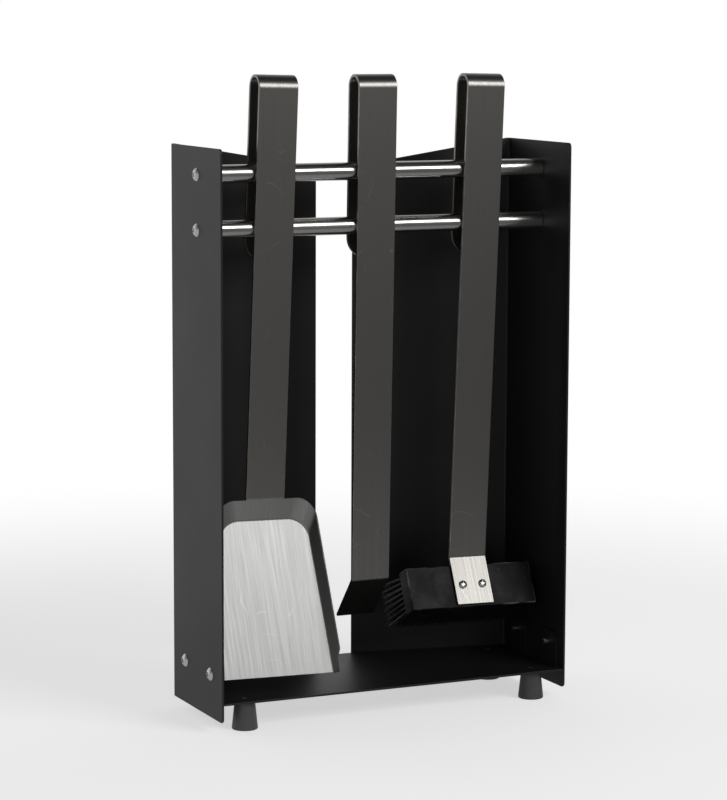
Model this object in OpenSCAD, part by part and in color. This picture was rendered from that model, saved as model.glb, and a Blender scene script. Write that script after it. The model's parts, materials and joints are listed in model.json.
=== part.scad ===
// Fireplace tool set: a black sheet-steel stand, open at the front, with two round rails.
// A shovel, a poker and a brush hang from the rails by looped flat handles and lift off upwards.
// X runs to the right, Y to the back, Z up; the stand rests on Z = 0 and is centred in X and Y.

/* [Stand] */
// Width over the two side panels
stand_w = 340; // [333:1:420]
// Depth of the side walls, from the front edge to the rear bend
side_d = 115; // [112:1:160]
// Height of the side panels
panel_h = 500; // [410:1:620]
// Thickness of the panels and of the base plate
sheet_t = 2; // [1.5:0.1:3]
// Inside radius of the sheet bends
sheet_bend_r = 2; // [1:0.5:4]
// Radius of the panels' front corners
corner_r = 4; // [2:0.5:10]
// Angle by which the rear flanges point backwards
back_angle = 9.4; // [4:0.1:12]
// Width of the open slot between the rear flanges
back_gap = 36; // [24:1:60]
// How far the top edge of a rear flange falls towards the slot
flange_drop = 25; // [5:1:60]
// Gap between the base plate and the sheet around it
base_gap = 0.5; // [0.3:0.1:1]
// Height of the base plate's underside over the panels' lower edge
base_inset = 15.5; // [10:0.5:24]

/* [Base tabs] */
// Width of a tab
tab_w = 34; // [24:1:40]
// Height of a tab over the base plate's underside
tab_h = 34.5; // [30:0.5:45]
// Cut-off at the tab's top corners
tab_chamfer = 6; // [2:0.5:10]
// Distance of the front tab's centre from the front edge
front_tab_y = 27.5; // [24:0.5:34]
// Distance between the two tabs' centres
tab_pitch = 60; // [50:1:65]
// Height of the tab screws over the base plate's underside
tab_screw_h = 23.3; // [18:0.1:26]

/* [Rails] */
// Diameter of the rails
rail_d = 16; // [12:1:20]
// Distance of the upper rail's axis below the panels' top edge
rail_drop = 24.3; // [20:0.1:40]
// Distance between the two rails' axes
rail_pitch = 48.3; // [40:0.1:60]
// Distance of the rails' axes behind the front edge
rail_y = 56; // [50:1:62]

/* [Screws] */
// Thread diameter of all screws and studs
screw_d = 6; // [5:0.5:8]
// Diameter of a button head
head_d = 12; // [11:0.5:14]
// Height of a button head
head_h = 3.3; // [2.5:0.1:4]
// Width across flats of the hexagon socket
socket_af = 4; // [3:0.5:5]
// Depth of the hexagon socket
socket_depth = 2; // [1:0.1:2.4]
// Length of a rail screw under its head
rail_screw_l = 16; // [12:1:25]
// Length of a base screw under its head
base_screw_l = 8; // [7:1:12]

/* [Feet] */
// Height of a foot
foot_h = 25.5; // [18:0.5:35]
// Diameter of a foot where it meets the plate
foot_top_d = 18; // [15:0.2:22]
// Diameter of a foot where it meets the floor
foot_bottom_d = 23.4; // [18:0.2:28]
// Distance of the feet's axes inwards from the side panels' inner faces
foot_inset_x = 25.5; // [20:0.5:50]
// Distance of the front feet's axes from the front edge
front_foot_y = 15; // [13:1:30]
// Distance of the rear feet's axes from the front edge
rear_foot_y = 102; // [80:1:104]
// Depth of a stud's end below the base plate's top face
stud_sink = 0.3; // [0:0.1:1]
// Length of a stud inside the rubber
stud_grip = 12; // [8:0.5:15]

/* [Tool handles] */
// Width of the flat bar
bar_w = 37; // [30:1:48]
// Thickness of the flat bar
bar_t = 2.5; // [2:0.1:3.5]
// Inside radius of the sharp bends in the flat bar
bar_bend_r = 3; // [2:0.5:5]
// Free play of a rail between the two legs of a handle
leg_play = 1.2; // [0.8:0.1:2]
// Height of the handle's top over the middle between the rails
loop_rise = 110; // [90:1:140]
// Depth of the rear leg's end below the middle between the rails
rear_leg_drop = 54.5; // [46:0.5:80]
// Backward tilt of a hanging tool
tilt = 1.7; // [0:0.1:2.5]
// Diameter of the stop pin between the legs
pin_d = 6; // [4:0.5:10]
// Gap between the stop pin and the rail it hangs on
pin_gap = 0.3; // [0.2:0.1:1]

/* [Shovel] */
// Sideways lean of the hanging shovel
shovel_lean = 1.4; // [0:0.1:2]
// Gap between the shovel pan's rim and the left panel
pan_side_gap = 0.8; // [0.6:0.1:20]
// Height of the pan's mouth over the base plate
pan_clear = 16.7; // [10:0.1:60]
// Length of the pan's floor
pan_l = 141; // [110:1:170]
// Width of the pan's floor at the mouth
pan_mouth_w = 107; // [80:1:120]
// Width of the pan's floor at the rear
pan_rear_w = 86; // [70:1:100]
// Radius of the floor's rear corners
pan_corner_r = 21; // [10:1:30]
// Radius of the rim's rear corners
pan_rim_r = 20; // [10:1:30]
// Height of the pan's walls over the underside
pan_wall_h = 11.5; // [8:0.5:25]
// Outward flare of the side walls
pan_side_flare = 5; // [2:0.5:10]
// Outward flare of the rear wall
pan_rear_flare = 16.5; // [8:0.5:24]
// Length of the slanted ends of the side walls
pan_wall_slant = 20; // [8:1:40]
// Thickness of the pan's sheet
pan_t = 1.5; // [1:0.1:2.5]
// Forward angle of the pan's floor to the handle
pan_angle = 20.7; // [10:0.1:24]
// Length of the handle's end under the pan's floor
pan_strap_l = 46; // [25:1:80]

/* [Poker] */
// Sideways place of the poker
poker_x = -2.5; // [-12:0.5:4]
// Height of the hook's end over the base plate
hook_clear = 49.5; // [20:0.5:120]
// Length of the hook
hook_l = 49; // [30:1:58]
// Backward angle of the hook to the handle
hook_angle = 38.5; // [20:0.5:60]

/* [Brush] */
// Sideways lean of the hanging brush
brush_lean = 1.2; // [0:0.1:2]
// Gap between the brush block's end and the right panel
brush_side_gap = 9.5; // [2:0.5:12]
// Height of the brush tab's end over the base plate
brush_clear = 60.5; // [45:0.5:120]
// Length of the tab that carries the block
brush_tab_l = 44; // [34:1:60]
// Forward angle of the tab to the handle
brush_angle = 28.7; // [10:0.1:40]
// Width of the brush block
block_w = 127; // [100:1:130]
// Height of the brush block
block_h = 40; // [34:1:56]
// Thickness of the brush block
block_t = 16; // [12:1:22]
// Overhang of the block past the tab's end
block_over = 2; // [0:0.5:6]
// Length of the bristles
bristle_l = 46; // [25:1:50]
// Widening of the bristles on each side towards their tips
bristle_splay = 5; // [0:0.5:8]
// Inset of the bristles' roots from the block's edges
bristle_inset = 3; // [2:0.5:6]
// Distance between the two block screws
block_screw_pitch = 20; // [12:1:26]
// Distance of the block screws from the tab's bend
block_screw_drop = 25.5; // [20:0.5:30]
// Shank diameter of a block screw
block_screw_d = 4; // [3:0.5:5]
// Head diameter of a block screw
block_head_d = 7.4; // [6:0.2:9]
// Head height of a block screw
block_head_h = 2.2; // [1.6:0.1:3]
// Width of the slots of a block screw's cross recess
recess_w = 1; // [0.6:0.1:1.4]
// Depth of the cross recess
recess_depth = 1; // [0.6:0.1:1.4]
// Length of a block screw inside the block
block_screw_l = 11; // [6:0.5:11]

/* [Hidden] */
$fn = 96;

panel_colour = "#1d1d1e";
inside_x = stand_w / 2 - sheet_t;
bend_ro = sheet_bend_r + sheet_t;
bend_x = stand_w / 2 - bend_ro;
flange_l = (bend_x - back_gap / 2) / cos(back_angle);
stand_d = side_d + flange_l * sin(back_angle) + bend_ro * cos(back_angle);
base_z = foot_h;
base_top = base_z + sheet_t;
panel_z = base_z - base_inset;
panel_top = panel_z + panel_h;
// Gap around a thread in its tapped hole, and around a screw in a plain hole
thread_gap = 0.1;
hole_gap = 0.25;
bore_spare = 2;
tapped_d = screw_d + 2 * thread_gap;
hole_d = screw_d + 2 * hole_gap;
cut = 1;
hull_slab = 0.02;
// Largest turn between two stations of a bend
bend_step = 4;
outline_fn = 64;

rail_top_z = panel_top - rail_drop;
rail_low_z = rail_top_z - rail_pitch;
rail_mid_z = (rail_top_z + rail_low_z) / 2;
tab_screw_z = base_z + tab_screw_h;
foot_x = inside_x - foot_inset_x;
foot_places = [for (y = [front_foot_y, rear_foot_y]) for (side = [-1, 1]) [side * foot_x, y]];
tab_places = [front_tab_y, front_tab_y + tab_pitch];
tab_screw_places = [for (y = tab_places) [y, tab_screw_z]];

// Room between a handle's legs: the rail, its play and what the tilt takes up between the rails
leg_gap = rail_d / cos(tilt) + rail_pitch * sin(tilt) + leg_play;
loop_r = (leg_gap + bar_t) / 2;
loop_centre_z = loop_rise - loop_r - bar_t / 2;
rear_run = loop_centre_z + rear_leg_drop;
pin_z = rail_pitch / 2 + rail_d / 2 + pin_gap + pin_d / 2;

bend_mid_r = bar_bend_r + bar_t / 2;

// Distance from the corner of a bend in the flat bar to the ends of its arc
function setback(angle) = bend_mid_r * tan(angle / 2);

// Front leg, down to the corner of its first bend, of a tool whose end hangs drop under that corner
function front_leg(clear, drop) =
  loop_centre_z + (rail_mid_z - loop_r * sin(tilt) - base_top - clear - drop) / cos(tilt);

// Pan: slope of the rear wall, the handle's bends that follow it, and the gap that the weld fills
pan_rear_wall_angle = atan(pan_wall_h / pan_rear_flare);
pan_rear_wall_l = norm([pan_wall_h, pan_rear_flare]);
pan_back_bend = pan_rear_wall_angle - pan_angle;
pan_corner_reach = bar_bend_r * tan(pan_rear_wall_angle / 2);
pan_handle_back_run = pan_rear_wall_l - pan_corner_reach;
pan_weld_gap = bar_bend_r * (1 / cos(pan_rear_wall_angle / 2) - 1);
pan_rear_drop = (setback(pan_back_bend) + pan_rear_wall_l) * cos(pan_back_bend + tilt);
pan_drop = pan_rear_drop + pan_l * cos(pan_angle - tilt);
shovel_run = front_leg(pan_clear, pan_drop) - setback(pan_back_bend);
pan_taper = (pan_mouth_w - pan_rear_w) / 2 / pan_l;
pan_rim_half = pan_mouth_w / 2 + pan_side_flare - pan_wall_slant * pan_taper;
pan_rim_hang = rail_mid_z - base_top - pan_clear - pan_wall_slant;
shovel_x = -inside_x + pan_side_gap + pan_rim_half + pan_rim_hang * tan(shovel_lean);

hook_drop = (setback(hook_angle) + hook_l) * cos(hook_angle + tilt);
poker_run = front_leg(hook_clear, hook_drop) - setback(hook_angle);

brush_drop = (setback(brush_angle) + brush_tab_l) * cos(brush_angle - tilt);
brush_run = front_leg(brush_clear, brush_drop) - setback(brush_angle);
brush_hang = rail_mid_z - base_top - brush_clear;
brush_x = inside_x - brush_side_gap - block_w / 2 + brush_hang * tan(brush_lean);

// Runs and bends [centreline radius, angle] of each bar, from the rear leg's end; a positive angle turns
// left, which is backwards once the bar has come over the loop
loop_bend = [loop_r, 180];
shovel_runs = [rear_run, shovel_run, pan_handle_back_run, pan_strap_l];
shovel_bends = [loop_bend, [bend_mid_r, pan_back_bend], [bend_mid_r, -pan_rear_wall_angle]];
poker_runs = [rear_run, poker_run, hook_l];
poker_bends = [loop_bend, [bend_mid_r, hook_angle]];
brush_runs = [rear_run, brush_run, brush_tab_l];
brush_bends = [loop_bend, [bend_mid_r, -brush_angle]];

// ---- Shared shapes ----

// Stand frame: Y = 0 at the front edge of the side panels
module stand_frame() {
  translate([0, -stand_d / 2, 0]) children();
}

// Two copies, mirrored left to right
module both_sides() {
  children();
  mirror([1, 0, 0]) children();
}

// Button-head screw along +Z, with the underside of its head at the origin and the shank below
module button_screw(length) {
  dome_r = (head_d * head_d / 4 + head_h * head_h) / (2 * head_h);
  difference() {
    union() {
      intersection() {
        cylinder(d = head_d, h = head_h);
        translate([0, 0, head_h - dome_r]) sphere(r = dome_r);
      }
      translate([0, 0, -length]) cylinder(d = screw_d, h = length + head_h / 2);
    }
    translate([0, 0, head_h - socket_depth])
      cylinder(d = socket_af / cos(30), h = socket_depth + cut, $fn = 6);
  }
}

// Screws through the right panel, with their heads outside
module right_screws(places, length) {
  for (p = places) {
    translate([stand_w / 2, p[0], p[1]]) rotate([0, 90, 0]) button_screw(length);
  }
}

// Direction of a heading, and the direction to its left
function ahead(heading) = [cos(heading), sin(heading)];
function leftward(heading) = [-sin(heading), cos(heading)];

// Stations [point, heading] along a bent bar's centreline: straight runs joined by arcs
function stations(runs, bends, i = 0, p = [0, 0], heading = 0) =
  let (corner = p + runs[i] * ahead(heading))
  i >= len(bends) ? [[p, heading], [corner, heading]] :
  let (
    turn = bends[i][1],
    side = sign(turn) * bends[i][0],
    centre = corner + side * leftward(heading),
    steps = ceil(abs(turn) / bend_step),
    arc = [for (k = [0:steps]) let (h = heading + turn * k / steps) [centre - side * leftward(h), h]]
  )
  concat([[p, heading]], arc, stations(runs, bends, i + 1, arc[steps][0], heading + turn));

// Side view of the bent bar or sheet, with its start at the origin and its first run along +X
module bent_profile(runs, bends, thickness) {
  path = stations(runs, bends);
  left_side = [for (s = path) s[0] + thickness / 2 * leftward(s[1])];
  right_side = [for (k = [len(path) - 1:-1:0]) path[k][0] - thickness / 2 * leftward(path[k][1])];
  polygon(concat(left_side, right_side));
}

// Frame at the end of a bent bar: +X runs on along the bar, +Y is its left side, Z is its width
module bar_end(runs, bends) {
  path = stations(runs, bends);
  end = path[len(path) - 1];
  translate([end[0][0], end[0][1], 0]) rotate([0, 0, end[1]]) children();
}

// Tool frame: origin on the rails' mid line, Z up along the handle, tilted back and leaning sideways
module tool_frame(x, lean) {
  stand_frame() translate([x, rail_y, rail_mid_z]) rotate([tilt, lean, 0]) children();
}

// Bar frame: starts at the rear leg's lower end and runs up
module bar_frame() {
  translate([0, loop_r, -rear_leg_drop]) rotate([90, 0, 90]) rotate([0, 0, 90]) children();
}

// Looped handle with a round end on its rear leg
module handle(runs, bends) {
  bar_frame() difference() {
    translate([0, 0, -bar_w / 2]) linear_extrude(bar_w) bent_profile(runs, bends, bar_t);
    difference() {
      translate([-cut, -bar_t, -bar_w]) cube([bar_w / 2 + cut, 2 * bar_t, 2 * bar_w]);
      translate([bar_w / 2, 0, 0]) rotate([90, 0, 0]) cylinder(d = bar_w, h = 4 * bar_t, center = true);
    }
  }
}

// Pin welded between a handle's legs, which rests on the upper rail
module stop_pin() {
  translate([0, leg_gap / 2, pin_z]) rotate([90, 0, 0]) cylinder(d = pin_d, h = leg_gap);
}

// ---- Stand ----

// Plan of the right panel: side wall, rear bend and rear flange
module panel_plan() {
  turn = 90 - back_angle;
  translate([stand_w / 2 - sheet_t / 2, 0]) rotate(90)
    bent_profile([side_d, flange_l], [[sheet_bend_r + sheet_t / 2, turn]], sheet_t);
}

module right_panel() {
  stand_frame() difference() {
    translate([0, 0, panel_z]) linear_extrude(panel_h) panel_plan();
    // Sloping top edge of the flange
    slope_end = bend_x - 2 * (bend_x - back_gap / 2);
    translate([0, stand_d + cut, 0]) rotate([90, 0, 0]) linear_extrude(stand_d + 2 * cut) polygon([
      [bend_x, panel_top],
      [slope_end, panel_top - 2 * flange_drop],
      [slope_end, panel_top + cut],
      [bend_x, panel_top + cut]
    ]);
    // Rounded front corners
    for (end = [0, 1]) {
      translate([inside_x - cut, 0, panel_z + end * panel_h]) mirror([0, 0, end]) difference() {
        translate([0, -cut, -cut]) cube([sheet_t + 2 * cut, corner_r + cut, corner_r + cut]);
        translate([-cut, corner_r, corner_r]) rotate([0, 90, 0])
          cylinder(r = corner_r, h = sheet_t + 4 * cut);
      }
    }
    // Screw holes
    for (p = concat([[rail_y, rail_low_z], [rail_y, rail_top_z]], tab_screw_places)) {
      translate([inside_x - cut, p[0], p[1]]) rotate([0, 90, 0])
        cylinder(d = hole_d, h = sheet_t + 2 * cut);
    }
  }
}

module right_side_panel() {
  color(panel_colour) right_panel();
}

module left_side_panel() {
  color(panel_colour) mirror([1, 0, 0]) right_panel();
}

// Right-hand tab: bend and upright sheet, chamfered at the top and tapped for its screw
module base_tab(y) {
  root = 2 * bend_ro;
  translate([inside_x, y, base_z]) difference() {
    translate([-bend_ro - root, tab_w / 2, sheet_t / 2]) rotate([90, 0, 0]) linear_extrude(tab_w)
      bent_profile([root, tab_h - bend_ro], [[sheet_bend_r + sheet_t / 2, 90]], sheet_t);
    for (side = [-1, 1]) {
      translate([-sheet_t - cut, side * tab_w / 2, tab_h]) rotate([45, 0, 0])
        translate([0, -tab_chamfer / sqrt(2), -tab_chamfer / sqrt(2)])
          cube([sheet_t + 2 * cut, sqrt(2) * tab_chamfer, sqrt(2) * tab_chamfer]);
    }
    translate([-sheet_t - cut, 0, tab_screw_h]) rotate([0, 90, 0])
      cylinder(d = tapped_d, h = sheet_t + 2 * cut);
  }
}

module base_plate() {
  edge_x = inside_x - base_gap;
  back_y = side_d - base_gap;
  slot_x = back_gap / 2;
  slot_y = side_d + sheet_bend_r / cos(back_angle) + (bend_x - slot_x) * tan(back_angle) - base_gap;
  color(panel_colour) stand_frame() {
    difference() {
      translate([0, 0, base_z]) linear_extrude(sheet_t) polygon([
        [-edge_x, 0],
        [edge_x, 0],
        [edge_x, back_y],
        [slot_x, slot_y],
        [-slot_x, slot_y],
        [-edge_x, back_y]
      ]);
      // Room for the tabs' bends
      both_sides() for (y = tab_places) {
        translate([inside_x - bend_ro, y - tab_w / 2, base_z - cut])
          cube([bend_ro, tab_w, sheet_t + 2 * cut]);
      }
      for (p = foot_places) {
        translate([p[0], p[1], base_z - cut]) cylinder(d = tapped_d, h = sheet_t + 2 * cut);
      }
    }
    both_sides() for (y = tab_places) base_tab(y);
  }
}

// Rail between the side panels, tapped at both ends
module rail(z) {
  bore_l = rail_screw_l - sheet_t + bore_spare;
  color("#b9b8b4") stand_frame() translate([0, rail_y, z]) rotate([0, 90, 0]) difference() {
    cylinder(d = rail_d, h = 2 * inside_x, center = true);
    for (side = [-1, 1]) {
      translate([0, 0, side * (inside_x - bore_l / 2 + cut / 2)])
        cylinder(d = tapped_d, h = bore_l + cut, center = true);
    }
  }
}

module upper_rail() {
  rail(rail_top_z);
}

module lower_rail() {
  rail(rail_low_z);
}

module rail_screws(z) {
  color("silver") stand_frame() both_sides() right_screws([[rail_y, z]], rail_screw_l);
}

module upper_rail_screws() {
  rail_screws(rail_top_z);
}

module lower_rail_screws() {
  rail_screws(rail_low_z);
}

module right_base_screws() {
  color("silver") stand_frame() right_screws(tab_screw_places, base_screw_l);
}

module left_base_screws() {
  color("silver") stand_frame() mirror([1, 0, 0]) right_screws(tab_screw_places, base_screw_l);
}

// Conical rubber foot under the base plate
module foot(i) {
  color("#161616") stand_frame() translate([foot_places[i][0], foot_places[i][1], 0]) difference() {
    cylinder(d1 = foot_bottom_d, d2 = foot_top_d, h = foot_h);
    translate([0, 0, foot_h - stud_grip]) cylinder(d = screw_d, h = stud_grip + cut);
  }
}

module front_left_foot() {
  foot(0);
}

module front_right_foot() {
  foot(1);
}

module rear_left_foot() {
  foot(2);
}

module rear_right_foot() {
  foot(3);
}

// Studs held in the feet and screwed into the base plate from below
module foot_studs() {
  color("silver") stand_frame() for (p = foot_places) {
    translate([p[0], p[1], foot_h - stud_grip])
      cylinder(d = screw_d, h = stud_grip + sheet_t - stud_sink);
  }
}

// ---- Shovel ----

module shovel_handle() {
  color("#6f6c67") tool_frame(shovel_x, shovel_lean) handle(shovel_runs, shovel_bends);
}

module shovel_stop_pin() {
  color("silver") tool_frame(shovel_x, shovel_lean) stop_pin();
}

// Outline of the pan at one level: mouth at y = mouth_y, rear edge at y = rear_y
module pan_outline(mouth_y, rear_y, mouth_half, rear_half, corner) {
  hull() {
    for (side = [-1, 1]) {
      translate([side * (rear_half - corner), rear_y - corner]) circle(r = corner, $fn = outline_fn);
      translate([side * mouth_half - (side > 0 ? hull_slab : 0), mouth_y]) square(hull_slab);
    }
  }
}

// Solid between the pan's floor level and its rim level, shrunk by a wall thickness
module pan_body(inset_side, inset_rear, floor_z, mouth_y) {
  rise = floor_z / pan_wall_h;
  rim_up = floor_z > 0 ? cut : 0;
  rim_scale = 1 + rim_up / pan_wall_h;
  hull() {
    translate([0, 0, floor_z]) linear_extrude(hull_slab) pan_outline(
      mouth_y,
      pan_l + rise * pan_rear_flare - inset_rear,
      pan_mouth_w / 2 + rise * pan_side_flare - inset_side,
      pan_rear_w / 2 + rise * pan_side_flare - inset_side,
      pan_corner_r
    );
    translate([0, 0, pan_wall_h + rim_up - hull_slab]) linear_extrude(hull_slab) pan_outline(
      mouth_y,
      pan_l + rim_scale * pan_rear_flare - inset_rear,
      pan_mouth_w / 2 + rim_scale * pan_side_flare - inset_side,
      pan_rear_w / 2 + rim_scale * pan_side_flare - inset_side,
      pan_rim_r
    );
  }
}

// Sheet pan, with X across, Y from the mouth to the rear and Z from the underside up
module pan() {
  side_slope = atan(pan_side_flare / pan_wall_h);
  rear_slope = atan(pan_rear_flare / pan_wall_h);
  difference() {
    pan_body(0, 0, 0, 0);
    pan_body(pan_t / cos(side_slope), pan_t / cos(rear_slope), pan_t, -cut);
    // Slanted ends of the side walls
    rotate([90, 0, 90]) linear_extrude(2 * pan_mouth_w, center = true) polygon([
      [-cut, pan_t],
      [0, pan_t],
      [pan_wall_slant, pan_wall_h + cut],
      [-cut, pan_wall_h + cut]
    ]);
  }
}

module shovel_pan() {
  color("#c3c3c1") tool_frame(shovel_x, shovel_lean) bar_frame()
    bar_end([rear_run, shovel_run, pan_handle_back_run], [loop_bend, [bend_mid_r, pan_back_bend]])
      translate([pan_corner_reach, -bar_t / 2 - pan_weld_gap, 0]) rotate([0, 0, -pan_rear_wall_angle])
        rotate([90, -90, 0]) translate([0, -pan_l, 0]) pan();
}

// ---- Poker ----

module poker_bar() {
  color("#6f6c67") tool_frame(poker_x, 0) handle(poker_runs, poker_bends);
}

module poker_stop_pin() {
  color("silver") tool_frame(poker_x, 0) stop_pin();
}

// ---- Brush ----

// Frame at the start of the brush's tab: +X down the tab, +Y behind it, Z across
module tab_frame() {
  tool_frame(brush_x, brush_lean) bar_frame() bar_end([rear_run, brush_run, 0], brush_bends) children();
}

// The two block screws, seen from the front of the tab, with +Z pointing out at the front
module at_block_screws() {
  for (side = [-1, 1]) {
    translate([block_screw_drop, -bar_t / 2, side * block_screw_pitch / 2]) rotate([90, 0, 0]) children();
  }
}

module brush_handle() {
  color("#8b8883") difference() {
    tool_frame(brush_x, brush_lean) handle(brush_runs, brush_bends);
    tab_frame() at_block_screws()
      cylinder(d = block_screw_d + 2 * thread_gap, h = 4 * bar_t, center = true);
  }
}

// Block that holds the bristles, screwed on behind the tab
module brush_block() {
  color("#17110d") tab_frame() difference() {
    translate([brush_tab_l + block_over - block_h, bar_t / 2, -block_w / 2])
      cube([block_h, block_t, block_w]);
    at_block_screws() translate([0, 0, -bar_t - block_screw_l])
      cylinder(d = block_screw_d, h = block_screw_l + cut);
  }
}

// Bundle of bristles behind the block, a little wider at the tips
module brush_bristles() {
  tip = bristle_l - hull_slab;
  color("#0e0e0e") tab_frame() translate([brush_tab_l + block_over - block_h / 2, bar_t / 2 + block_t, 0])
    rotate([-90, 0, 0]) hull() {
      for (level = [[0, 0], [tip, bristle_splay]]) {
        size_x = block_h - 2 * bristle_inset + 2 * level[1];
        size_y = block_w - 2 * bristle_inset + 2 * level[1];
        translate([-size_x / 2, -size_y / 2, level[0]]) cube([size_x, size_y, hull_slab]);
      }
    }
}

// Pan-head screws with a cross recess
module brush_block_screws() {
  color("silver") tab_frame() at_block_screws() difference() {
    union() {
      intersection() {
        cylinder(d = block_head_d, h = block_head_h);
        translate([0, 0, block_head_h - block_head_d]) sphere(r = block_head_d);
      }
      translate([0, 0, -bar_t - block_screw_l])
        cylinder(d = block_screw_d, h = bar_t + block_screw_l + block_head_h / 2);
    }
    for (turn = [0, 90]) {
      rotate([0, 0, turn]) translate([0, 0, block_head_h])
        cube([block_head_d / 2, recess_w, 2 * recess_depth], center = true);
    }
  }
}

module brush_stop_pin() {
  color("silver") tool_frame(brush_x, brush_lean) stop_pin();
}

left_side_panel();
right_side_panel();
base_plate();
upper_rail();
lower_rail();
upper_rail_screws();
lower_rail_screws();
left_base_screws();
right_base_screws();
front_left_foot();
front_right_foot();
rear_left_foot();
rear_right_foot();
foot_studs();
shovel_handle();
shovel_pan();
shovel_stop_pin();
poker_bar();
poker_stop_pin();
brush_handle();
brush_block();
brush_bristles();
brush_block_screws();
brush_stop_pin();
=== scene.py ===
import json
import math
import random

import bmesh
import bpy
from mathutils import Matrix, Vector


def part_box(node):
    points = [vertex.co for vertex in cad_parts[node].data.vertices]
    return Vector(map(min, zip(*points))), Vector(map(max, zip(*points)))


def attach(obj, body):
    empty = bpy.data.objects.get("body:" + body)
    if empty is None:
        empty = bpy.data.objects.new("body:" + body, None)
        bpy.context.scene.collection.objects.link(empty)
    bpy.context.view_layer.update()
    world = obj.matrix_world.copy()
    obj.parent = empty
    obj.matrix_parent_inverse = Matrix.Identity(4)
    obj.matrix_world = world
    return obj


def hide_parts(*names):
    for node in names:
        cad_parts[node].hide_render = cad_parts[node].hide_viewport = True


# A fireplace tool set: a black sheet-steel stand with two rails, and a shovel, a poker and a brush
# hanging from them. Every size below is in metres or, where it says mm, in millimetres.

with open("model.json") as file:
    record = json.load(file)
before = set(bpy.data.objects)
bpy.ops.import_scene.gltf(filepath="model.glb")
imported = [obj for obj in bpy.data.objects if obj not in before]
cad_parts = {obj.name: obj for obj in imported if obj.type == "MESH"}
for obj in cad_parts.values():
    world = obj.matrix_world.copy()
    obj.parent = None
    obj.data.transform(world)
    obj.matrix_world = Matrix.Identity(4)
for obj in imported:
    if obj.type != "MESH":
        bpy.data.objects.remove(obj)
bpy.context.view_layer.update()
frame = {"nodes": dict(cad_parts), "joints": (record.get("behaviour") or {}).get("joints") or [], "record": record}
nodes = frame["nodes"]
jointAxes = {joint["child"]: Vector(joint["axis"]) for joint in frame["joints"]}
mm = 0.001
print("frame loaded:", len(nodes), "nodes")


# Mesh helpers that every piece uses

def mergedCopy(nodeName):
    # a CAD node's mesh is loose triangles, so its copy is merged first
    bm = bmesh.new()
    bm.from_mesh(nodes[nodeName].data)
    bmesh.ops.remove_doubles(bm, verts=bm.verts[:], dist=0.002 * mm)
    bmesh.ops.dissolve_limit(bm, angle_limit=math.radians(0.4), verts=bm.verts[:], edges=bm.edges[:])
    return bm


def sharpEdges(bm, angle=30):
    limit = math.radians(angle)
    return [e for e in bm.edges if len(e.link_faces) == 2 and e.calc_face_angle(0) > limit]


def roundEdges(bm, edges, width, segments=2):
    # rounds the edges and marks the new faces in a layer that the materials read, for worn edges and for painted
    # edge highlights
    layer = bm.loops.layers.float_color.get("wearAndSheen")
    if layer is None:
        layer = bm.loops.layers.float_color.new("wearAndSheen")
        for face in bm.faces:
            for loop in face.loops:
                loop[layer] = (0, 0, 0, 1)
    made = bmesh.ops.bevel(
        bm, geom=list(edges), affect="EDGES", offset=width, segments=segments, profile=0.5,
        clamp_overlap=False, material=-1,
    )
    for face in made["faces"]:
        for loop in face.loops:
            loop[layer] = (1, 1, 1, 1)


def moveTo(bm, nodeName):
    # shifts the mesh so that its box is centred on the CAD node's box
    low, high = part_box(nodeName)
    xs, ys, zs = zip(*(v.co for v in bm.verts))
    middle = Vector((min(xs) + max(xs), min(ys) + max(ys), min(zs) + max(zs))) / 2
    bmesh.ops.translate(bm, verts=bm.verts[:], vec=(low + high) / 2 - middle)


def addPiece(name, bm, body, slotName, *standsFor, smoothAngle=35):
    for face in bm.faces:
        face.smooth = True
    for edge in bm.edges:
        edge.smooth = len(edge.link_faces) == 2 and edge.calc_face_angle(0) < math.radians(smoothAngle)
    mesh = bpy.data.meshes.new(name)
    bm.to_mesh(mesh)
    bm.free()
    piece = bpy.data.objects.new(name, mesh)
    bpy.context.scene.collection.objects.link(piece)
    piece.data.materials.append(finishes[slotName])
    weighted = piece.modifiers.new("weightedNormals", "WEIGHTED_NORMAL")
    weighted.keep_sharp = True
    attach(piece, body)
    if standsFor:
        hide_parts(*standsFor)


# Camera, lights, floor and surroundings

studio = {
    "cameraPlace": (-1.0846, -2.3383, 0.6259),
    "azimuth": 24.842,
    "elevation": -7.703,
    "roll": 0.19,
    "lens": 129.08,
    "keyDirection": (0.416, -0.783, 0.462),
    "keyDistance": 3.0,
    "keySize": (1.6, 1.15),
    "keyRadiance": 4.0,
    "keyAim": (0, 0, 0.3),
    "paper": 0.86,
    "paperLift": 0.58,
    "whiteFrom": 0.45,
    "whiteTo": 1.3,
    "paleLeft": 0.4,
    "paperBehind": 0.54,
    # (share of 4 m from the stand, brightness) of the floor in front, as the metal mirrors it
    "floorInFront": [
        (0.0, 0.22), (0.13, 0.24), (0.2, 0.17), (0.28, 0.11), (0.4, 0.09), (0.62, 0.14), (1.0, 0.14),
    ],
    # (height from straight down to straight up, brightness) of the room
    "roomInFront": [(0.0, 0.1), (0.5, 0.09), (0.6, 0.06), (0.7, 0.16), (0.8, 0.12), (0.95, 0.03)],
    "roomBehind": [(0.0, 0.6), (0.5, 0.65), (0.62, 0.75), (0.8, 0.45), (0.95, 0.05)],
}


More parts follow.
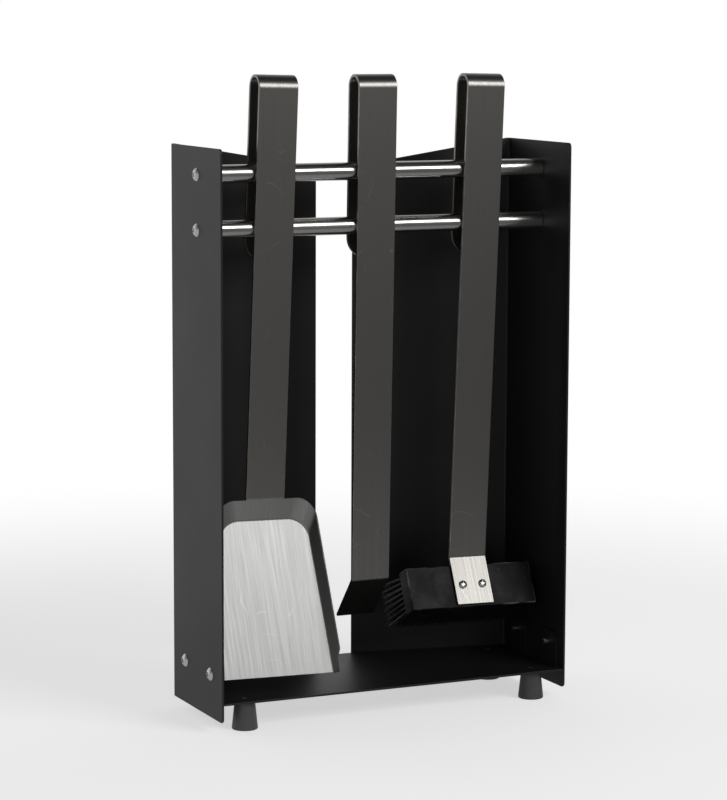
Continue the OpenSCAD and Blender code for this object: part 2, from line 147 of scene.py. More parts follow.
def makeCamera():
    cameraData = bpy.data.cameras.new("studioCamera")
    cameraData.lens = studio["lens"]
    cameraData.sensor_width = 36
    cameraData.clip_end = 50
    camera = bpy.data.objects.new("studioCamera", cameraData)
    bpy.context.scene.collection.objects.link(camera)
    turned = math.radians(studio["azimuth"])
    raised = math.radians(studio["elevation"])
    level = math.cos(raised)
    ahead = Vector((math.sin(turned) * level, math.cos(turned) * level, math.sin(raised)))
    right = Vector((math.cos(turned), -math.sin(turned), 0))
    look = Matrix((right, right.cross(ahead), -ahead)).transposed().to_4x4()
    roll = Matrix.Rotation(math.radians(studio["roll"]), 4, "Z")
    camera.matrix_world = Matrix.Translation(studio["cameraPlace"]) @ look @ roll
    bpy.context.scene.camera = camera


def makeSoftbox():
    lightData = bpy.data.lights.new("keySoftbox", "AREA")
    lightData.shape = "RECTANGLE"
    wide, high = studio["keySize"]
    lightData.size, lightData.size_y = wide, high
    lightData.energy = math.pi * wide * high * studio["keyRadiance"]
    light = bpy.data.objects.new("keySoftbox", lightData)
    bpy.context.scene.collection.objects.link(light)
    direction = Vector(studio["keyDirection"])
    light.location = Vector(studio["keyAim"]) + direction.normalized() * studio["keyDistance"]
    light.rotation_euler = (-direction).to_track_quat("-Z", "Y").to_euler()


def addNode(tree, kind, **settings):
    node = tree.nodes.new(kind)
    for key, value in settings.items():
        setattr(node, key, value)
    return node


def ramp(tree, source, stops):
    # grey colour ramp through (position, value) stops
    node = addNode(tree, "ShaderNodeValToRGB")
    elements = node.color_ramp.elements
    while len(elements) < len(stops):
        elements.new(0.5)
    for element, (position, value) in zip(elements, stops):
        element.position = position
        element.color = (value, value, value, 1)
    tree.links.new(source, node.inputs["Fac"])
    return node.outputs["Color"]


def mapRange(tree, source, fromLow, fromHigh, toLow=0.0, toHigh=1.0, smooth=True):
    node = addNode(tree, "ShaderNodeMapRange", interpolation_type="SMOOTHSTEP" if smooth else "LINEAR")
    limits = (("From Min", fromLow), ("From Max", fromHigh), ("To Min", toLow), ("To Max", toHigh))
    for socket, value in limits:
        node.inputs[socket].default_value = value
    tree.links.new(source, node.inputs["Value"])
    return node.outputs["Result"]


def maths(tree, operation, first, second=None):
    node = addNode(tree, "ShaderNodeMath", operation=operation)
    for index, value in enumerate((first, second)):
        if isinstance(value, (int, float)):
            node.inputs[index].default_value = value
        elif value is not None:
            tree.links.new(value, node.inputs[index])
    return node.outputs["Value"]


def mixColours(tree, factor, first, second):
    node = addNode(tree, "ShaderNodeMix", data_type="RGBA")
    for socket, value in ((node.inputs[0], factor), (node.inputs[6], first), (node.inputs[7], second)):
        if isinstance(value, (int, float)):
            socket.default_value = value
        elif isinstance(value, tuple):
            socket.default_value = (*value, 1)
        else:
            tree.links.new(value, socket)
    return node.outputs[2]


def leftMask(tree, axes):
    # the paler part of the room, in front and to the left
    aside = maths(tree, "DIVIDE", axes.outputs["X"], maths(tree, "ABSOLUTE", axes.outputs["Y"]))
    return mapRange(tree, aside, 0.2, -0.1)


def makeFloor():
    bm = bmesh.new()
    bmesh.ops.create_grid(bm, x_segments=1, y_segments=1, size=8)
    mesh = bpy.data.meshes.new("studioFloor")
    bm.to_mesh(mesh)
    bm.free()
    floor = bpy.data.objects.new("studioFloor", mesh)
    bpy.context.scene.collection.objects.link(floor)
    material = bpy.data.materials.new("floorPaper")
    material.use_nodes = True
    tree = material.node_tree
    tree.nodes.clear()
    output = addNode(tree, "ShaderNodeOutputMaterial")
    place = addNode(tree, "ShaderNodeTexCoord")
    reach = addNode(tree, "ShaderNodeVectorMath", operation="LENGTH")
    tree.links.new(place.outputs["Object"], reach.inputs[0])
    axes = addNode(tree, "ShaderNodeSeparateXYZ")
    tree.links.new(place.outputs["Object"], axes.inputs["Vector"])
    paper = addNode(tree, "ShaderNodeBsdfDiffuse")
    paper.inputs["Color"].default_value = (studio["paper"],) * 3 + (1,)
    lift = addNode(tree, "ShaderNodeEmission")
    lift.inputs["Strength"].default_value = studio["paperLift"]
    lit = addNode(tree, "ShaderNodeAddShader")
    tree.links.new(paper.outputs[0], lit.inputs[0])
    tree.links.new(lift.outputs[0], lit.inputs[1])
    # the paper fades to plain white far away, so that no horizon shows
    white = addNode(tree, "ShaderNodeEmission")
    seen = addNode(tree, "ShaderNodeMixShader")
    far = mapRange(tree, reach.outputs["Value"], studio["whiteFrom"], studio["whiteTo"])
    tree.links.new(far, seen.inputs["Fac"])
    tree.links.new(lit.outputs[0], seen.inputs[1])
    tree.links.new(white.outputs[0], seen.inputs[2])
    # what the metal mirrors: a dim pool of light round the stand, a dark room in front that is
    # paler on the left, and pale paper behind
    front = ramp(tree, maths(tree, "MULTIPLY", reach.outputs["Value"], 0.25), studio["floorInFront"])
    glow = addNode(tree, "ShaderNodeEmission")
    behind = mapRange(tree, axes.outputs["Y"], 0.1, 0.7)
    room = mixColours(tree, leftMask(tree, axes), front, (studio["paleLeft"],) * 3)
    tree.links.new(mixColours(tree, behind, room, (studio["paperBehind"],) * 3), glow.inputs["Color"])
    ray = addNode(tree, "ShaderNodeLightPath")
    both = addNode(tree, "ShaderNodeMixShader")
    tree.links.new(ray.outputs["Is Camera Ray"], both.inputs["Fac"])
    tree.links.new(glow.outputs[0], both.inputs[1])
    tree.links.new(seen.outputs[0], both.inputs[2])
    tree.links.new(both.outputs[0], output.inputs["Surface"])
    floor.data.materials.append(material)


def makeWorld():
    world = bpy.data.worlds.new("studioWorld")
    bpy.context.scene.world = world
    world.use_nodes = True
    tree = world.node_tree
    tree.nodes.clear()
    output = addNode(tree, "ShaderNodeOutputWorld")
    direction = addNode(tree, "ShaderNodeTexCoord")
    axes = addNode(tree, "ShaderNodeSeparateXYZ")
    tree.links.new(direction.outputs["Generated"], axes.inputs["Vector"])
    height = mapRange(tree, axes.outputs["Z"], -1, 1, smooth=False)
    front = ramp(tree, height, studio["roomInFront"])
    back = ramp(tree, height, studio["roomBehind"])
    behind = mapRange(tree, axes.outputs["Y"], 0.0, 0.45)
    low = maths(tree, "MULTIPLY", leftMask(tree, axes), mapRange(tree, axes.outputs["Z"], 0.45, 0.1))
    sides = mixColours(tree, low, front, (studio["paleLeft"],) * 3)
    room = addNode(tree, "ShaderNodeBackground")
    tree.links.new(mixColours(tree, behind, sides, back), room.inputs["Color"])
    seen = addNode(tree, "ShaderNodeBackground")
    seen.inputs["Color"].default_value = (1, 1, 1, 1)
    ray = addNode(tree, "ShaderNodeLightPath")
    both = addNode(tree, "ShaderNodeMixShader")
    tree.links.new(ray.outputs["Is Camera Ray"], both.inputs["Fac"])
    tree.links.new(room.outputs[0], both.inputs[1])
    tree.links.new(seen.outputs[0], both.inputs[2])
    tree.links.new(both.outputs[0], output.inputs["Surface"])


makeCamera()
makeFloor()
makeWorld()
makeSoftbox()
bpy.context.scene.view_settings.view_transform = "Standard"
print("studio ready")


# Shared effects, as node groups that read the surface's own coordinates

def newGroup(name, inputs, outputs):
    group = bpy.data.node_groups.new(name, "ShaderNodeTree")
    for label, kind, value in inputs:
        socket = group.interface.new_socket(label, in_out="INPUT", socket_type=kind)
        if value is not None:
            socket.default_value = value
    for label, kind in outputs:
        group.interface.new_socket(label, in_out="OUTPUT", socket_type=kind)
    return group, addNode(group, "NodeGroupInput"), addNode(group, "NodeGroupOutput")


def noise(tree, vector, scale, detail=4.0, roughness=0.55):
    node = addNode(tree, "ShaderNodeTexNoise")
    for socket, value in (("Scale", scale), ("Detail", detail), ("Roughness", roughness)):
        if isinstance(value, (int, float)):
            node.inputs[socket].default_value = value
        else:
            tree.links.new(value, node.inputs[socket])
    tree.links.new(vector, node.inputs["Vector"])
    return node.outputs["Fac"]


def brushGrainGroup():
    # fine lines that run along Z and Y and change across X, as a brushed flat bar has them
    group, start, end = newGroup(
        "brushGrain",
        [("Vector", "NodeSocketVector", None), ("Across", "NodeSocketFloat", 1400.0),
         ("Along", "NodeSocketFloat", 14.0)],
        [("Fine", "NodeSocketFloat"), ("Broad", "NodeSocketFloat")],
    )
    for label, share, detail in (("Fine", 1.0, 5.0), ("Broad", 0.22, 2.0)):
        stretch = addNode(group, "ShaderNodeCombineXYZ")
        group.links.new(maths(group, "MULTIPLY", start.outputs["Across"], share), stretch.inputs["X"])
        for axis in "YZ":
            group.links.new(maths(group, "MULTIPLY", start.outputs["Along"], share), stretch.inputs[axis])
        scaled = addNode(group, "ShaderNodeVectorMath", operation="MULTIPLY")
        group.links.new(start.outputs["Vector"], scaled.inputs[0])
        group.links.new(stretch.outputs["Vector"], scaled.inputs[1])
        group.links.new(noise(group, scaled.outputs["Vector"], 1.0, detail), end.inputs[label])
    return group


def hairlinesGroup():
    # thin stray scratches: the contour lines of a slow noise, broken up by a second one
    group, start, end = newGroup(
        "hairlines",
        [("Vector", "NodeSocketVector", None), ("Scale", "NodeSocketFloat", 30.0),
         ("Width", "NodeSocketFloat", 0.004), ("Amount", "NodeSocketFloat", 0.5)],
        [("Mask", "NodeSocketFloat")],
    )
    slow = noise(group, start.outputs["Vector"], start.outputs["Scale"], 1.0)
    offset = maths(group, "ABSOLUTE", maths(group, "SUBTRACT", slow, 0.5))
    line = maths(group, "LESS_THAN", offset, start.outputs["Width"])
    finer = maths(group, "MULTIPLY", start.outputs["Scale"], 2.3)
    patches = noise(group, start.outputs["Vector"], finer, 2.0)
    kept = mapRange(group, patches, 0.52, 0.62)
    masked = maths(group, "MULTIPLY", line, kept)
    group.links.new(maths(group, "MULTIPLY", masked, start.outputs["Amount"]), end.inputs["Mask"])
    return group


def edgeWearAndSheenGroup():
    # the rounded edges, from the mesh's own edge layer, broken up by noise: real wear on the brush block, a
    # painted highlight on the coat and the brushed bars
    group, start, end = newGroup(
        "edgeWearAndSheen",
        [("Vector", "NodeSocketVector", None), ("Scale", "NodeSocketFloat", 120.0),
         ("Amount", "NodeSocketFloat", 0.5)],
        [("Mask", "NodeSocketFloat")],
    )
    layer = addNode(group, "ShaderNodeAttribute", attribute_name="wearAndSheen")
    broken = mapRange(group, noise(group, start.outputs["Vector"], start.outputs["Scale"], 3.0), 0.48, 0.68)
    masked = maths(group, "MULTIPLY", layer.outputs["Fac"], broken)
    group.links.new(maths(group, "MULTIPLY", masked, start.outputs["Amount"]), end.inputs["Mask"])
    return group


def powderGroup():
    # orange-peel skin of a fine powder coat, and slow cloudy smudges
    group, start, end = newGroup(
        "powderSkin",
        [("Vector", "NodeSocketVector", None), ("Grain", "NodeSocketFloat", 1500.0),
         ("Cloud", "NodeSocketFloat", 9.0)],
        [("Height", "NodeSocketFloat"), ("Smudge", "NodeSocketFloat")],
    )
    peel = noise(group, start.outputs["Vector"], start.outputs["Grain"], 2.0)
    smudge = noise(group, start.outputs["Vector"], start.outputs["Cloud"], 4.0, 0.6)
    group.links.new(peel, end.inputs["Height"])
    group.links.new(smudge, end.inputs["Smudge"])
    return group


brushGrain = brushGrainGroup()
hairlines = hairlinesGroup()
edgeWearAndSheen = edgeWearAndSheenGroup()
powderSkin = powderGroup()


# Finishes, one material for each slot

def newMaterial(name, metallic, specular=0.5):
    material = bpy.data.materials.new(name)
    material.use_nodes = True
    tree = material.node_tree
    shader = tree.nodes["Principled BSDF"]
    shader.inputs["Metallic"].default_value = metallic
    shader.inputs["Specular IOR Level"].default_value = specular
    place = addNode(tree, "ShaderNodeTexCoord")
    return material, tree, shader, place.outputs["Object"]


def turned(tree, vector, lean=0.0):
    node = addNode(tree, "ShaderNodeMapping")
    node.inputs["Rotation"].default_value = (0, math.radians(lean), 0)
    tree.links.new(vector, node.inputs["Vector"])
    return node.outputs["Vector"]


def useGroup(tree, group, vector, **values):
    node = addNode(tree, "ShaderNodeGroup")
    node.node_tree = group
    tree.links.new(vector, node.inputs["Vector"])
    for label, value in values.items():
        node.inputs[label].default_value = value
    return node.outputs


def bump(tree, shader, height, strength, distance):
    node = addNode(tree, "ShaderNodeBump")
    node.inputs["Strength"].default_value = strength
    node.inputs["Distance"].default_value = distance
    tree.links.new(height, node.inputs["Height"])
    tree.links.new(node.outputs["Normal"], shader.inputs["Normal"])


def cloudyRoughness(tree, shader, smudge, smooth, rough):
    tree.links.new(mapRange(tree, smudge, 0.3, 0.7, smooth, rough), shader.inputs["Roughness"])


coatLook = {
    "dark": (0.014, 0.014, 0.0145), "light": (0.017, 0.017, 0.0178), "wornAndSheen": (0.07, 0.07, 0.072),
    "wearAndSheenScale": 60.0, "wearAndSheenAmount": 0.35, "smooth": 0.42, "rough": 0.47,
}


def coatFinish():
    material, tree, shader, place = newMaterial("blackPowderCoat", 0.0)
    skin = useGroup(tree, powderSkin, place)
    wornAndSheen = useGroup(tree, edgeWearAndSheen, place, Scale=coatLook["wearAndSheenScale"], Amount=coatLook["wearAndSheenAmount"])["Mask"]
    cloudy = mapRange(tree, skin["Smudge"], 0.3, 0.7)
    base = mixColours(tree, cloudy, coatLook["dark"], coatLook["light"])
    # the rounded edges are painted lighter: a painted highlight
    tree.links.new(mixColours(tree, wornAndSheen, base, coatLook["wornAndSheen"]), shader.inputs["Base Color"])
    cloudyRoughness(tree, shader, skin["Smudge"], coatLook["smooth"], coatLook["rough"])
    bump(tree, shader, skin["Height"], 0.12, 0.05 * mm)
    return material


# dark and light are the streaks' colours, smooth and rough the roughness of light and dark streaks
barLook = {
    "dark": (0.26, 0.252, 0.236), "light": (0.34, 0.331, 0.312), "smooth": 0.27, "rough": 0.33,
    "across": 2600.0, "along": 12.0, "lean": 0.0, "contrast": 0.22, "scratches": 0.3,
}
sheetLook = {
    "dark": (0.29, 0.29, 0.286), "light": (0.4, 0.4, 0.393), "smooth": 0.34, "rough": 0.4,
    "across": 2600.0, "along": 24.0, "lean": 1.4, "contrast": 0.25, "scratches": 0.12,
}
brushedLook = {
    "scratchScale": 17.0, "scratchWidth": 0.0018, "wearAndSheenScale": 90.0, "wearAndSheenAmount": 0.5,
    # the first colour here is painted shade on the pan's walls, the last a painted highlight on the rounded edges
    "paintedWallShade": (0.3, 0.3, 0.295), "scratched": (0.8, 0.79, 0.77), "wornAndSheen": (0.75, 0.74, 0.72),
}


def brushedFinish(name, look):
    # a colour layer of the mesh marks the pan's walls, which are painted darker as painted shade
    material, tree, shader, place = newMaterial(name, 1.0)
    streakPlace = turned(tree, place, look["lean"])
    grain = useGroup(tree, brushGrain, streakPlace, Across=look["across"], Along=look["along"])
    scratch = useGroup(
        tree, hairlines, place, Scale=brushedLook["scratchScale"], Width=brushedLook["scratchWidth"],
        Amount=look["scratches"],
    )["Mask"]
    wornAndSheen = useGroup(
        tree, edgeWearAndSheen, place, Scale=brushedLook["wearAndSheenScale"], Amount=brushedLook["wearAndSheenAmount"],
    )["Mask"]
    paintedWallShade = addNode(tree, "ShaderNodeAttribute", attribute_name="paintedWallShade").outputs["Fac"]
    fine = mapRange(tree, grain["Fine"], 0.5 - look["contrast"], 0.5 + look["contrast"], smooth=False)
    broad = mapRange(tree, grain["Broad"], 0.35, 0.65)
    mixed = maths(tree, "ADD", maths(tree, "MULTIPLY", fine, 0.8), maths(tree, "MULTIPLY", broad, 0.2))
    streaked = mixColours(tree, mixed, look["dark"], look["light"])
    # the pan's walls are painted darker here: painted shade
    base = mixColours(tree, paintedWallShade, streaked, brushedLook["paintedWallShade"])
    marked = mixColours(tree, scratch, base, brushedLook["scratched"])
    # the rounded edges are painted much lighter: a painted highlight
    tree.links.new(mixColours(tree, wornAndSheen, marked, brushedLook["wornAndSheen"]), shader.inputs["Base Color"])
    tree.links.new(mapRange(tree, mixed, 0, 1, look["rough"], look["smooth"]), shader.inputs["Roughness"])
    bump(tree, shader, grain["Fine"], 0.12, 0.02 * mm)
    return material


railLook = {
    "dark": (0.56, 0.55, 0.53), "light": (0.72, 0.71, 0.69), "rings": 2600.0, "ringWobble": 30.0,
    "cloud": 14.0, "smooth": 0.16, "rough": 0.24,
}


def turnedSteelFinish():
    # round bar, polished round its axis: the fine rings change along X
    material, tree, shader, place = newMaterial("satinSteel", 1.0)
    rings = useGroup(tree, brushGrain, place, Across=railLook["rings"], Along=railLook["ringWobble"])
    smudge = useGroup(tree, powderSkin, place, Cloud=railLook["cloud"])["Smudge"]
    base = mixColours(tree, rings["Fine"], railLook["dark"], railLook["light"])
    tree.links.new(base, shader.inputs["Base Color"])
    cloudyRoughness(tree, shader, smudge, railLook["smooth"], railLook["rough"])
    bump(tree, shader, rings["Fine"], 0.05, 0.01 * mm)
    return material


def cloudyFinish(name, metallic, look):
    # an even stuff with a fine grain, where slow clouds change colour and roughness
    material, tree, shader, place = newMaterial(name, metallic)
    skin = useGroup(tree, powderSkin, place, Grain=look["grain"], Cloud=look["cloud"])
    tree.links.new(mixColours(tree, skin["Smudge"], look["dark"], look["light"]), shader.inputs["Base Color"])
    cloudyRoughness(tree, shader, skin["Smudge"], look["smooth"], look["rough"])
    if look["bump"]:
        bump(tree, shader, skin["Height"], look["bump"], look["bumpDepth"])
    return material


zincLook = {
    "dark": (0.6, 0.6, 0.6), "light": (0.88, 0.88, 0.87), "smooth": 0.2, "rough": 0.34,
    "grain": 900.0, "cloud": 260.0, "bump": 0.08, "bumpDepth": 0.02 * mm,
}
rubberLook = {
    "dark": (0.08, 0.08, 0.08), "light": (0.13, 0.13, 0.13), "smooth": 0.34, "rough": 0.48,
    "grain": 1800.0, "cloud": 70.0, "bump": 0.15, "bumpDepth": 0.03 * mm,
}
bristleLook = {
    "dark": (0.003, 0.003, 0.003), "light": (0.03, 0.029, 0.028), "smooth": 0.38, "rough": 0.6,
    "grain": 600.0, "cloud": 240.0, "bump": 0,
}
blockLook = {
    "dark": (0.004, 0.004, 0.004), "light": (0.012, 0.0115, 0.011), "scuffed": (0.07, 0.065, 0.06),
    "wornAndSheen": (0.22, 0.21, 0.19), "specular": 0.25, "smooth": 0.42, "rough": 0.6, "cloud": 42.0,
    "grainAcross": 900.0, "grainAlong": 30.0, "scuffScale": 55.0, "scuffWidth": 0.006, "scuffs": 0.5,
    "wearAndSheenScale": 55.0, "wearAndSheenAmount": 0.8,
}


def blockFinish():
    # matt black paint on wood: scuffs over the faces, and paint worn off along the edges
    look = blockLook
    material, tree, shader, place = newMaterial("paintedBlock", 0.0, look["specular"])
    smudge = useGroup(tree, powderSkin, place, Cloud=look["cloud"])["Smudge"]
    grain = useGroup(
        tree, brushGrain, turned(tree, place, 90), Across=look["grainAcross"], Along=look["grainAlong"],
    )
    scuff = useGroup(
        tree, hairlines, place, Scale=look["scuffScale"], Width=look["scuffWidth"], Amount=look["scuffs"],
    )["Mask"]
    wornAndSheen = useGroup(tree, edgeWearAndSheen, place, Scale=look["wearAndSheenScale"], Amount=look["wearAndSheenAmount"])["Mask"]
    base = mixColours(tree, mapRange(tree, smudge, 0.42, 0.72), look["dark"], look["light"])
    marked = mixColours(tree, scuff, base, look["scuffed"])
    tree.links.new(mixColours(tree, wornAndSheen, marked, look["wornAndSheen"]), shader.inputs["Base Color"])
    cloudyRoughness(tree, shader, smudge, look["smooth"], look["rough"])
    bump(tree, shader, grain["Fine"], 0.25, 0.06 * mm)
    return material


finishes = {
    "black_coat": coatFinish(),
    "satin_steel": turnedSteelFinish(),
    "brushed_bar": brushedFinish("brushedBar", barLook),
    "brushed_sheet": brushedFinish("brushedSheet", sheetLook),
    "zinc_steel": cloudyFinish("zincPlate", 1.0, zincLook),
    "foot_rubber": cloudyFinish("footRubber", 0.0, rubberLook),
    "black_block": blockFinish(),
    "bristle": cloudyFinish("bristleFibre", 0.0, bristleLook),
}
print("finishes ready:", len(finishes))


# Stand

def finishNode(nodeName, body, slotName, width, segments=2, angle=35):
    # the CAD shape with its sharp edges rounded
    bm = mergedCopy(nodeName)
    roundEdges(bm, sharpEdges(bm, angle), width, segments)
    addPiece(nodeName + "Finished", bm, body, slotName, nodeName)


edgeRounding = {
    "panel": 0.35 * mm, "screw": 0.25 * mm, "stud": 0.4 * mm, "bar": 0.4 * mm, "pin": 0.3 * mm,
    "blockScrew": 0.15 * mm,
}

for nodeName in ("left_side_panel", "right_side_panel", "base_plate"):
    finishNode(nodeName, "root", "black_coat", edgeRounding["panel"])
print("stand panels ready")

railSizes = {"segments": 96, "endRound": 0.6 * mm}


def makeRail(nodeName):
    low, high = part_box(nodeName)
    radius = (high.z - low.z) / 2
    bm = bmesh.new()
    bmesh.ops.create_cone(
        bm, cap_ends=True, segments=railSizes["segments"], depth=high.x - low.x,
        radius1=radius, radius2=radius, matrix=Matrix.Rotation(math.radians(90), 4, "Y"),
    )
    roundEdges(bm, sharpEdges(bm, 60), railSizes["endRound"], 3)
    moveTo(bm, nodeName)
    addPiece(nodeName + "Bar", bm, "root", "satin_steel", nodeName)


for nodeName in ("upper_rail", "lower_rail"):
    makeRail(nodeName)

for nodeName in ("upper_rail_screws", "lower_rail_screws", "left_base_screws", "right_base_screws"):
    finishNode(nodeName, "root", "zinc_steel", edgeRounding["screw"], 2, 40)
finishNode("foot_studs", "root", "zinc_steel", edgeRounding["stud"], 2, 60)
print("rails and screws ready")

footSizes = {"segments": 72, "lip": 1.2 * mm, "topLip": 0.5 * mm, "topShare": 18 / 23.4}


def makeFoot(nodeName):
    low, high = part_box(nodeName)
    centre = (low + high) / 2
    wide = (high.x - low.x) / 2
    narrow = wide * footSizes["topShare"]
    bm = bmesh.new()
    bmesh.ops.create_cone(
        bm, cap_ends=True, segments=footSizes["segments"], depth=high.z - low.z,
        radius1=wide, radius2=narrow, matrix=Matrix.Translation(centre),
    )
    rims = sharpEdges(bm, 50)
    lower = [e for e in rims if e.verts[0].co.z < centre.z]
    upper = [e for e in rims if e.verts[0].co.z > centre.z]
    roundEdges(bm, lower, footSizes["lip"], 4)
    roundEdges(bm, upper, footSizes["topLip"], 2)
    addPiece(nodeName + "Rubber", bm, "root", "foot_rubber", nodeName)


for nodeName in ("front_left_foot", "front_right_foot", "rear_left_foot", "rear_right_foot"):
    makeFoot(nodeName)
print("feet ready")


# Tools

def toolTurn(body):
    # the joint's axis is the handle's own upward direction, leaning sideways and tilting
    axis = jointAxes[body]
    lean = math.atan2(axis.x, axis.z)
    tilt = -math.asin(axis.y)
    return Matrix.Rotation(lean, 4, "Y") @ Matrix.Rotation(tilt, 4, "X")


for nodeName, body in (("shovel_handle", "shovel"), ("poker_bar", "poker"), ("brush_handle", "brush")):
    finishNode(nodeName, body, "brushed_bar", edgeRounding["bar"], 3)
for body in ("shovel", "poker", "brush"):
    finishNode(body + "_stop_pin", body, "satin_steel", edgeRounding["pin"])
finishNode("brush_block_screws", "brush", "zinc_steel", edgeRounding["blockScrew"], 2, 50)
print("handles ready")

panSizes = {
    "length": 141 * mm, "mouthHalf": 53.5 * mm, "rearHalf": 43 * mm, "floorRadius": 21 * mm,
    "rimRadius": 20 * mm, "wallHeight": 11.5 * mm, "sideFlare": 5 * mm, "rearFlare": 16.5 * mm,
    "slant": 20 * mm, "sheet": 1.5 * mm, "angle": 20.7, "crease": 1.6 * mm, "edge": 0.3 * mm,
    "cornerSegments": 14, "creaseSegments": 5,
}
nearZero = 0.01 * mm


def panOutline(bm, mouthHalf, rearHalf, rearY, height, radius):
    # open outline from one mouth corner round the rear to the other, with round rear corners
    corners = [(-mouthHalf, 0), (-rearHalf, rearY), (rearHalf, rearY), (mouthHalf, 0)]
    verts = [bm.verts.new((x, y, height)) for x, y in corners]
    for pair in zip(verts, verts[1:]):
        bm.edges.new(pair)
    halfTurn = (math.pi / 2 - math.atan((mouthHalf - rearHalf) / rearY)) / 2
    bmesh.ops.bevel(
        bm, geom=verts[1:3], affect="VERTICES", offset=radius * math.tan(halfTurn),
        segments=panSizes["cornerSegments"], profile=0.5, clamp_overlap=False, material=-1,
    )
    return [e for e in bm.edges if all(abs(v.co.z - height) < nearZero for v in e.verts)]


def makePan():
    # made flat, mouth towards -Y and inside upwards, then turned and moved to its place
    size = panSizes
    bm = bmesh.new()
    flare = size["sideFlare"]
    floorEdges = panOutline(
        bm, size["mouthHalf"], size["rearHalf"], size["length"], 0, size["floorRadius"],
    )
    rimEdges = panOutline(
        bm, size["mouthHalf"] + flare, size["rearHalf"] + flare, size["length"] + size["rearFlare"],
        size["wallHeight"], size["rimRadius"],
    )
    bmesh.ops.bridge_loops(bm, edges=floorEdges + rimEdges)
    floorVerts = [v for v in bm.verts if abs(v.co.z) < nearZero]
    mouthEdge = bm.edges.new([v for v in floorVerts if abs(v.co.y) < nearZero])
    floorLoop = [e for e in bm.edges if all(v in floorVerts for v in e.verts)]
    bmesh.ops.edgeloop_fill(bm, edges=floorLoop)
    bmesh.ops.recalc_face_normals(bm, faces=bm.faces[:])
    floorFace = max(bm.faces, key=lambda face: face.calc_area())
    if floorFace.normal.z > 0:
        bmesh.ops.reverse_faces(bm, faces=bm.faces[:])
    creases = [e for e in floorFace.edges if e is not mouthEdge]
    bmesh.ops.bevel(
        bm, geom=creases, affect="EDGES", offset=size["crease"], segments=size["creaseSegments"],
        profile=0.5, clamp_overlap=False, material=-1,
    )
    # the walls slope up from the mouth to their full height
    rise = size["wallHeight"] - size["sheet"]
    bmesh.ops.bisect_plane(
        bm, geom=bm.verts[:] + bm.edges[:] + bm.faces[:], plane_co=(0, 0, size["sheet"]),
        plane_no=(0, -rise, size["slant"]), clear_outer=True,
    )
    # the walls are marked for a darker colour, as painted shade
    paintedWallShade = bm.loops.layers.float_color.new("paintedWallShade")
    for face in bm.faces:
        shade = 0.0 if face.normal.z < -0.8 else 1.0
        for loop in face.loops:
            loop[paintedWallShade] = (shade, shade, shade, 1)
    bmesh.ops.solidify(bm, geom=bm.faces[:], thickness=size["sheet"])
    roundEdges(bm, sharpEdges(bm, 50), size["edge"])
    turn = toolTurn("shovel") @ Matrix.Rotation(math.radians(90 - size["angle"]), 4, "X")
    bmesh.ops.transform(bm, matrix=turn, verts=bm.verts[:])
    moveTo(bm, "shovel_pan")
    addPiece("shovelPanSheet", bm, "shovel", "brushed_sheet", "shovel_pan")


makePan()
print("pan ready")

brushSizes = {
    "width": 127 * mm, "depth": 16 * mm, "height": 40 * mm, "round": 1.1 * mm, "angle": 28.7,
    "inset": 3 * mm, "splay": 5 * mm, "length": 46 * mm, "columns": 30, "rows": 8, "strands": 9,
    "tuftRoot": 1.5 * mm, "tuftTip": 2.4 * mm, "strand": 0.3 * mm, "strandTip": 0.13 * mm,
    "sunk": 0.5 * mm, "seed": 11,
}


def brushPlace():
    # frame of the block: X across, Y backwards through the block, Z up its face
    low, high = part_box("brush_block")
    turn = toolTurn("brush") @ Matrix.Rotation(math.radians(-brushSizes["angle"]), 4, "X")
    return Matrix.Translation((low + high) / 2) @ turn


def makeBlock():
    size = brushSizes
    bm = bmesh.new()
    scale = Matrix.Diagonal((size["width"], size["depth"], size["height"], 1))
    bmesh.ops.create_cube(bm, size=1, matrix=scale)
    roundEdges(bm, bm.edges[:], size["round"], 3)
    bmesh.ops.transform(bm, matrix=brushPlace(), verts=bm.verts[:])
    addPiece("brushBlockPainted", bm, "brush", "black_block", "brush_block")


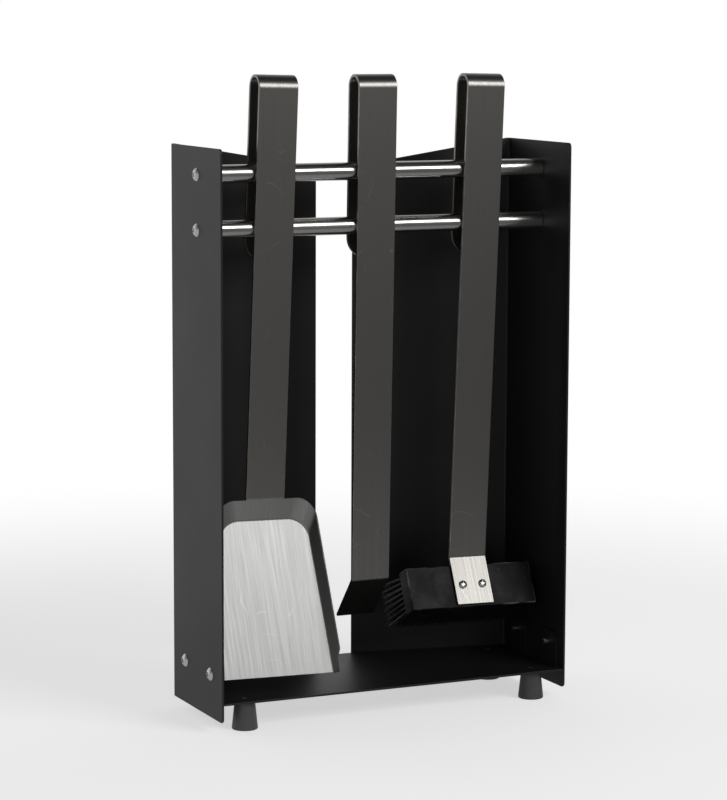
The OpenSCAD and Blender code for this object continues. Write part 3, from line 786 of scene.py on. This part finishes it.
def addStrand(bm, start, end, rootRadius, tipRadius, segments):
    along = end - start
    turn = along.to_track_quat("Z", "Y").to_matrix().to_4x4()
    bmesh.ops.create_cone(
        bm, cap_ends=True, segments=segments, depth=along.length, radius1=rootRadius, radius2=tipRadius,
        matrix=Matrix.Translation((start + end) / 2) @ turn,
    )


def makeBristles():
    # each tuft is a tapered core, sunk a little into the block, with loose strands round it
    size = brushSizes
    draw = random.Random(size["seed"])
    bm = bmesh.new()
    halfWide = size["width"] / 2 - size["inset"] - size["tuftRoot"]
    halfHigh = size["height"] / 2 - size["inset"] - size["tuftRoot"]
    rear = size["depth"] / 2
    spread = 1 + (size["splay"] - size["tuftTip"] / 2) / halfWide
    spreadHigh = 1 + (size["splay"] - size["tuftTip"] / 2) / halfHigh
    for column in range(size["columns"]):
        for row in range(size["rows"]):
            x = (2 * column / (size["columns"] - 1) - 1) * halfWide
            z = (2 * row / (size["rows"] - 1) - 1) * halfHigh
            root = Vector((x, rear - size["sunk"], z))
            tip = Vector((x * spread, rear + size["length"] * draw.uniform(0.86, 0.97), z * spreadHigh))
            addStrand(bm, root, root.lerp(tip, 0.9), size["tuftRoot"], size["tuftRoot"] * 0.9, 5)
            for strand in range(size["strands"]):
                angle = math.tau * (strand + draw.random()) / size["strands"]
                way = Vector((math.cos(angle), 0, math.sin(angle)))
                start = root + way * size["tuftRoot"] * 0.8
                end = tip + way * size["tuftTip"] * draw.uniform(0.3, 1.0)
                end.y = rear + size["length"] * draw.uniform(0.9, 1.0)
                addStrand(bm, start, end, size["strand"], size["strandTip"], 3)
    bmesh.ops.transform(bm, matrix=brushPlace(), verts=bm.verts[:])
    addPiece("brushBristleTufts", bm, "brush", "bristle", "brush_bristles", smoothAngle=80)


makeBlock()
makeBristles()
print("brush ready")


# Every CAD node gets its slot's finish too

slotOf = {part["node"]: part["material_slot"] for part in frame["record"]["subparts"]}
for nodeName, node in nodes.items():
    node.data.materials.clear()
    node.data.materials.append(finishes[slotOf[nodeName]])
print("CAD nodes finished:", len(nodes))
